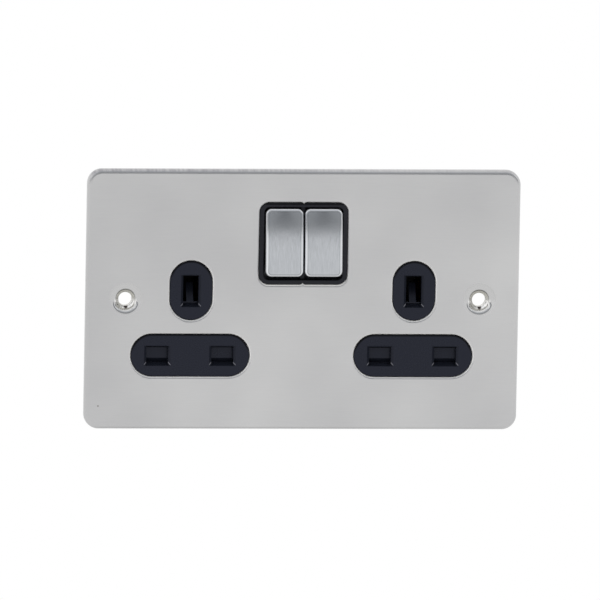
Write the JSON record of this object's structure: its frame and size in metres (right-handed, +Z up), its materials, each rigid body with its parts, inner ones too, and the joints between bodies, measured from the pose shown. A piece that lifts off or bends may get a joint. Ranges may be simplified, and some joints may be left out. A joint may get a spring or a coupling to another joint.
{
  "type": "twin switched socket outlet",
  "caption": "Flat steel plate twin wall socket for three rectangular pins, with rocker switches, sliding shutters, contacts and terminals in a moulded housing.",
  "frame": {"origin": "midway between the two fixing holes, in the plane of the wall behind the plate", "axes": "+X to the right and +Z up for someone who faces the socket, +Y into the wall"},
  "size_m": [0.1476, 0.0289, 0.0888],
  "materials": {
    "plate": "brushed",
    "moulding": "satin",
    "surround": "satin",
    "rear": "moulded",
    "bush": "plated",
    "brass": "stamped",
    "contact": "silver alloy",
    "zinc_steel": "zinc plated",
    "cap": "brushed",
    "rocker": "moulded",
    "shutter": "moulded",
    "spring": "drawn wire"
  },
  "bodies": {
    "base": {"front_plate": "plate", "front_moulding": "moulding", "switch_surround": "surround", "rear_moulding": "rear", "fixing_bushes": "bush", "neutral_bar": "brass", "earth_bar": "brass", "strap_rivets": "zinc_steel", "supply_bar": "brass", "terminal_screws": "zinc_steel", "case_screws": "zinc_steel", "terminal_neutral": "brass", "terminal_earth": "brass", "terminal_line": "brass", "fixed_contact_left": "contact", "output_strip_left": "brass", "earth_strap_left": "zinc_steel", "shutter_spring_left": "spring", "fixed_contact_right": "contact", "output_strip_right": "brass", "earth_strap_right": "zinc_steel", "shutter_spring_right": "spring"},
    "rocker_left": {"rocker_cap_left": "cap", "rocker_body_left": "rocker", "plunger_left": "brass", "plunger_spring_left": "spring"},
    "rocker_right": {"rocker_cap_right": "cap", "rocker_body_right": "rocker", "plunger_right": "brass", "plunger_spring_right": "spring"},
    "lever_left": {"contact_lever_left": "brass"},
    "lever_right": {"contact_lever_right": "brass"},
    "shutter_slide_left": {"shutter_left": "shutter"},
    "shutter_slide_right": {"shutter_right": "shutter"}
  },
  "joints": [
    {"name": "rocker_left_pivot", "type": "hinge", "parent": "base", "child": "rocker_left", "pos_m": [-0.00665, 0.0004, 0.0192], "axis": [1, 0, 0], "range_deg": [0, 14]},
    {"name": "lever_left_pivot", "type": "hinge", "parent": "base", "child": "lever_left", "pos_m": [-0.00665, 0.0103, 0.0192], "axis": [1, 0, 0], "range_deg": [-16, 0]},
    {"name": "shutter_left_drop", "type": "slide", "parent": "base", "child": "shutter_slide_left", "axis": [0, 0, -1], "range_m": [0, 0.006], "stiffness_N_per_m": 150, "springref_m": -0.003, "deforming": ["shutter_spring_left"]},
    {"name": "rocker_right_pivot", "type": "hinge", "parent": "base", "child": "rocker_right", "pos_m": [0.00665, 0.0004, 0.0192], "axis": [1, 0, 0], "range_deg": [0, 14]},
    {"name": "lever_right_pivot", "type": "hinge", "parent": "base", "child": "lever_right", "pos_m": [0.00665, 0.0103, 0.0192], "axis": [1, 0, 0], "range_deg": [-16, 0]},
    {"name": "shutter_right_drop", "type": "slide", "parent": "base", "child": "shutter_slide_right", "axis": [0, 0, -1], "range_m": [0, 0.006], "stiffness_N_per_m": 150, "springref_m": -0.003, "deforming": ["shutter_spring_right"]}
  ],
  "couplings": [
    {"joint": "lever_left_pivot", "follows": "rocker_left_pivot", "ratio": -1.1429},
    {"joint": "lever_right_pivot", "follows": "rocker_right_pivot", "ratio": -1.1429}
  ]
}
